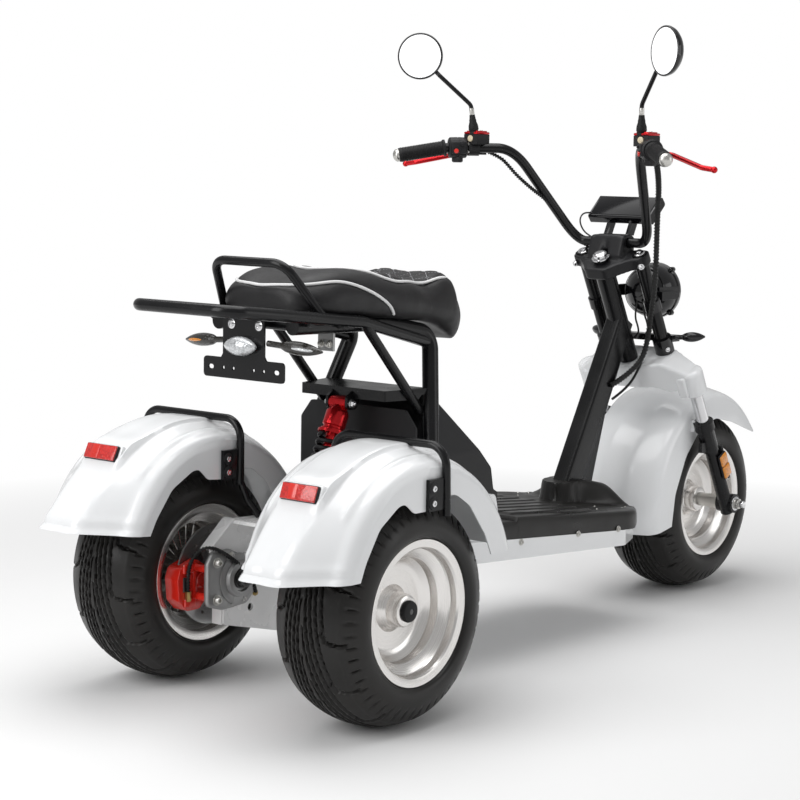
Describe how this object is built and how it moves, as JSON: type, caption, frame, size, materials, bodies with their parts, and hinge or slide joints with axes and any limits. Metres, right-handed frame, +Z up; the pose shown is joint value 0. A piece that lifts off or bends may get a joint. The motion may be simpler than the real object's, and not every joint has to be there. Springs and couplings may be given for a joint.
{
  "type": "motorized trike scooter",
  "caption": "Three-wheeled motor scooter with a raked fork, low footboard, long seat, rear rack and wide mudguards.",
  "frame": {"origin": "bottom centre of the whole vehicle, on the floor between the three wheels", "axes": "+X forward, +Y to the rider's left, +Z up; the steering axis leans back from +Z by the rake angle"},
  "size_m": [2.1035, 0.8636, 1.3754],
  "materials": {
    "white_paint": "gloss white paint",
    "black_paint": "satin black powder coat",
    "silver_paint": "silver-white paint",
    "red_paint": "gloss red paint",
    "red_metal": "red anodised",
    "amber_lens": "moulded reflector",
    "red_lens": "moulded reflector",
    "clear_lens": "textured clear lens",
    "tyre_rubber": "moulded tread",
    "rim_metal": "polished and lathe turned",
    "disc_steel": "ground",
    "dark_steel": "blackened",
    "bright_steel": "hard chrome",
    "cast_alloy": "as cast",
    "cast_black": "semi-gloss black casting",
    "board_rubber": "ribbed mat",
    "panel_black": "fine grain",
    "seat_cover": "stitched vinyl with white piping",
    "lamp_black": "moulded housing",
    "display_black": "moulded housing",
    "grip_rubber": "moulded grip",
    "pod_plastic": "moulded switch housing",
    "mirror_face": "mirror glass in a black shell",
    "cable_black": "spiral wrapped cable"
  },
  "bodies": {
    "chassis": {"main_frame": "black_paint", "floor_tray": "white_paint", "footboard": "board_rubber", "seat_frame": "black_paint", "rear_rack": "black_paint", "seat": "seat_cover", "battery_box": "panel_black", "swing_arm": "silver_paint", "axle_carriers": "cast_alloy", "rear_axles": "dark_steel", "rear_calipers": "red_paint", "rear_shock": "red_paint", "shock_spring": "black_paint", "rear_fenders": "white_paint", "fender_guards": "black_paint", "rear_reflectors": "red_lens", "plate_bracket": "black_paint", "tail_light": "clear_lens", "rear_indicators": "lamp_black", "seat_latch": "cast_alloy"},
    "steering": {"steering_stem": "black_paint", "top_bridge": "cast_black", "fork_tubes": "black_paint", "fork_crown": "white_paint", "fork_stanchions": "bright_steel", "fork_legs": "black_paint", "front_axle": "cast_alloy", "front_fender": "white_paint", "handlebar": "black_paint", "grips": "grip_rubber", "bar_ends": "bright_steel", "switch_pods": "pod_plastic", "brake_levers": "red_metal", "master_cylinders": "cast_black", "mirrors": "mirror_face", "display": "display_black", "headlight": "lamp_black", "front_indicators": "lamp_black", "fork_reflectors": "amber_lens", "front_caliper": "red_paint", "cables": "cable_black"},
    "front_wheel": {"front_tyre": "tyre_rubber", "front_rim": "rim_metal", "front_disc": "disc_steel"},
    "rear_left_wheel": {"rear_left_tyre": "tyre_rubber", "rear_left_rim": "rim_metal", "rear_left_disc": "disc_steel"},
    "rear_right_wheel": {"rear_right_tyre": "tyre_rubber", "rear_right_rim": "rim_metal", "rear_right_disc": "disc_steel"}
  },
  "joints": [
    {"name": "steering", "type": "hinge", "parent": "chassis", "child": "steering", "pos_m": [0.77775, 0, 0.2295], "axis": [-0.4772, 0, 0.8788], "range_deg": [-35, 35], "deforming": ["cables"]},
    {"name": "front_wheel_spin", "type": "hinge", "parent": "steering", "child": "front_wheel", "pos_m": [0.82775, 0, 0.2295], "axis": [0, 1, 0], "continuous": true},
    {"name": "rear_left_spin", "type": "hinge", "parent": "chassis", "child": "rear_left_wheel", "pos_m": [-0.70725, 0.28, 0.2295], "axis": [0, 1, 0], "continuous": true},
    {"name": "rear_right_spin", "type": "hinge", "parent": "chassis", "child": "rear_right_wheel", "pos_m": [-0.70725, -0.28, 0.2295], "axis": [0, 1, 0], "continuous": true}
  ]
}
